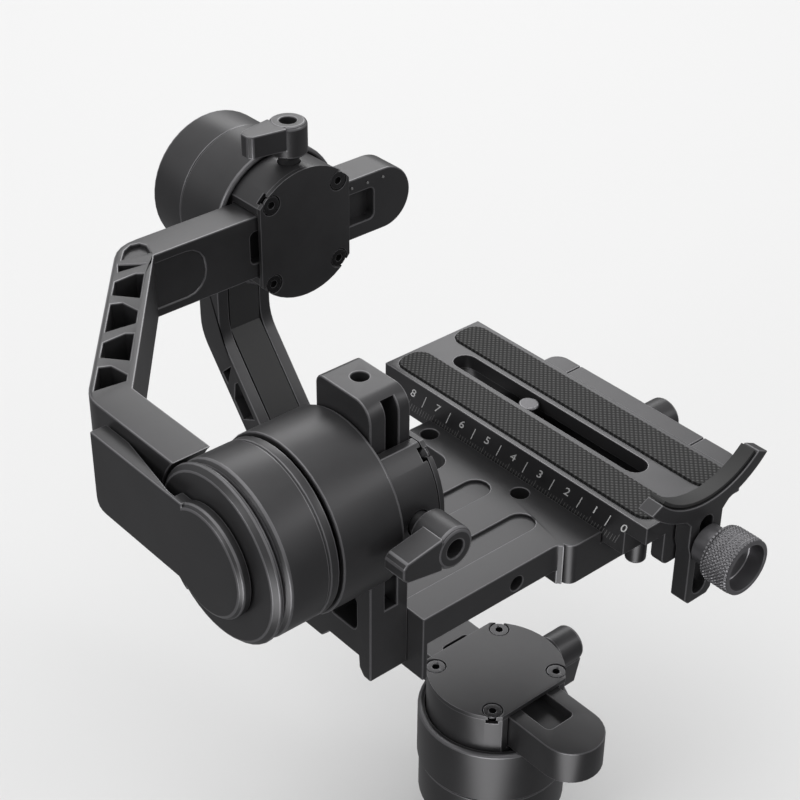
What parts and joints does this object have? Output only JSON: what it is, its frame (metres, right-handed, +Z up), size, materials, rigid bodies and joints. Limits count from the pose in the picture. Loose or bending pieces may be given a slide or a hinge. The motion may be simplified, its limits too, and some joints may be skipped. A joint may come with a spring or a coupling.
{
  "type": "camera gimbal",
  "caption": "Camera gimbal head: pan, roll and tilt motors joined by sliding C-shaped arms, with a quick-release camera plate and lens support.",
  "frame": {"origin": "centre of the flat face under the pan motor, where the handle fastens, on the pan axis", "axes": "+Z up along the pan axis, -Y the way the camera looks, +X from the tilt motor towards the camera plate"},
  "size_m": [0.164, 0.1925, 0.1941],
  "materials": {
    "black_anodised": "satin black anodised",
    "plate_anodised": "satin dark grey anodised",
    "grip_rubber": "fine square-grid grip rubber",
    "cover_plastic": "matt black moulded",
    "knob_metal": "knurled, satin grey anodised",
    "screw_steel": "black-oxide countersunk hex screws",
    "bright_steel": "bright turned steel",
    "magnet": "nickel-plated",
    "copper_winding": "enamelled copper wire on a steel core"
  },
  "bodies": {
    "root": {"mount_collar": "black_anodised", "pan_stator_housing": "black_anodised", "pan_stator_core": "copper_winding", "pan_bearing": "bright_steel"},
    "pan": {"pan_rotor_shell": "black_anodised", "pan_magnet_ring": "magnet", "pan_shaft": "bright_steel", "pan_clamp_body": "black_anodised", "pan_cover_plate": "black_anodised", "pan_cover_screw_1": "screw_steel", "pan_cover_screw_2": "screw_steel", "pan_cover_screw_3": "screw_steel", "pan_cover_screw_4": "screw_steel"},
    "pan_lock_lever": {"pan_lock_lever": "black_anodised"},
    "pan_arm": {"pan_arm": "black_anodised", "pan_arm_cable_cover": "cover_plastic", "roll_stator_housing": "black_anodised", "roll_stator_core": "copper_winding", "roll_bearing": "bright_steel"},
    "roll": {"roll_rotor_shell": "black_anodised", "roll_magnet_ring": "magnet", "roll_shaft": "bright_steel", "roll_clamp_body": "black_anodised", "roll_cover_plate": "black_anodised", "roll_cover_screw_1": "screw_steel", "roll_cover_screw_2": "screw_steel", "roll_cover_screw_3": "screw_steel", "roll_cover_screw_4": "screw_steel"},
    "roll_lock_lever": {"roll_lock_lever": "black_anodised"},
    "roll_arm": {"roll_arm": "black_anodised", "arm_outer_cover": "black_anodised", "tilt_end_cap": "black_anodised", "tilt_stator_housing": "black_anodised", "tilt_stator_core": "copper_winding", "tilt_bearing": "bright_steel"},
    "tilt": {"tilt_rotor_shell": "black_anodised", "tilt_magnet_ring": "magnet", "tilt_shaft": "bright_steel", "tilt_clamp_body": "black_anodised", "tilt_cover_plate": "black_anodised", "tilt_cover_screw_1": "screw_steel", "tilt_cover_screw_2": "screw_steel", "tilt_cover_screw_3": "screw_steel", "tilt_cover_screw_4": "screw_steel"},
    "tilt_lock_lever": {"tilt_lock_lever": "black_anodised"},
    "bracket": {"camera_bracket": "black_anodised", "base_plate": "black_anodised", "plate_front_stop": "plate_anodised", "plate_rear_stop": "plate_anodised"},
    "plate_clamp": {"plate_clamp_jaw": "plate_anodised"},
    "plate_clamp_knob": {"plate_clamp_knob": "black_anodised"},
    "plate": {"quick_release_plate": "plate_anodised", "left_grip_pad": "grip_rubber", "right_grip_pad": "grip_rubber", "camera_screw": "bright_steel", "plate_stop_pin": "black_anodised"},
    "lens_support": {"lens_support": "black_anodised", "lens_support_lining": "grip_rubber"},
    "lens_support_knob": {"lens_support_knob": "knob_metal"}
  },
  "joints": [
    {"name": "pan_turn", "type": "hinge", "parent": "root", "child": "pan", "pos_m": [0, 0, 0.0445], "axis": [0, 0, 1], "continuous": true},
    {"name": "pan_lever_turn", "type": "hinge", "parent": "pan", "child": "pan_lock_lever", "pos_m": [0.0308, 0, 0.0502], "axis": [1, 0, 0], "range_deg": [-30, 60]},
    {"name": "pan_arm_slide", "type": "slide", "parent": "pan", "child": "pan_arm", "axis": [0, 1, 0], "range_m": [-0.015, 0.015]},
    {"name": "roll_turn", "type": "hinge", "parent": "pan_arm", "child": "roll", "pos_m": [0, 0.0957, 0.1623], "axis": [0, 1, 0], "range_deg": [-45, 45]},
    {"name": "roll_lever_turn", "type": "hinge", "parent": "roll", "child": "roll_lock_lever", "pos_m": [0, 0.09, 0.1941], "axis": [0, 0, 1], "range_deg": [-90, 90]},
    {"name": "roll_arm_slide", "type": "slide", "parent": "roll", "child": "roll_arm", "axis": [1, 0, 0], "range_m": [-0.014, 0.014]},
    {"name": "tilt_turn", "type": "hinge", "parent": "roll_arm", "child": "tilt", "pos_m": [-0.0647, -0.012, 0.1566], "axis": [1, 0, 0], "range_deg": [-90, 90]},
    {"name": "tilt_lever_turn", "type": "hinge", "parent": "tilt", "child": "tilt_lock_lever", "pos_m": [-0.05855, -0.0438, 0.1566], "axis": [0, -1, 0], "range_deg": [-90, 90]},
    {"name": "bracket_slide", "type": "slide", "parent": "tilt", "child": "bracket", "axis": [0, 0, 1], "range_m": [-0.012, 0.012]},
    {"name": "plate_clamp_slide", "type": "slide", "parent": "bracket", "child": "plate_clamp", "axis": [1, 0, 0], "range_m": [0, 0.002]},
    {"name": "plate_clamp_knob_turn", "type": "hinge", "parent": "plate_clamp", "child": "plate_clamp_knob", "pos_m": [0.0506, -0.0024, 0.1189], "axis": [1, 0, 0], "continuous": true},
    {"name": "plate_slide", "type": "slide", "parent": "bracket", "child": "plate", "axis": [0, 1, 0], "range_m": [-0.02, 0.001]},
    {"name": "lens_support_slide", "type": "slide", "parent": "plate", "child": "lens_support", "axis": [0, 0, 1], "range_m": [-0.006, 0.014]},
    {"name": "lens_support_knob_turn", "type": "hinge", "parent": "plate", "child": "lens_support_knob", "pos_m": [0.0215, -0.0502, 0.122], "axis": [0, -1, 0], "continuous": true}
  ]
}
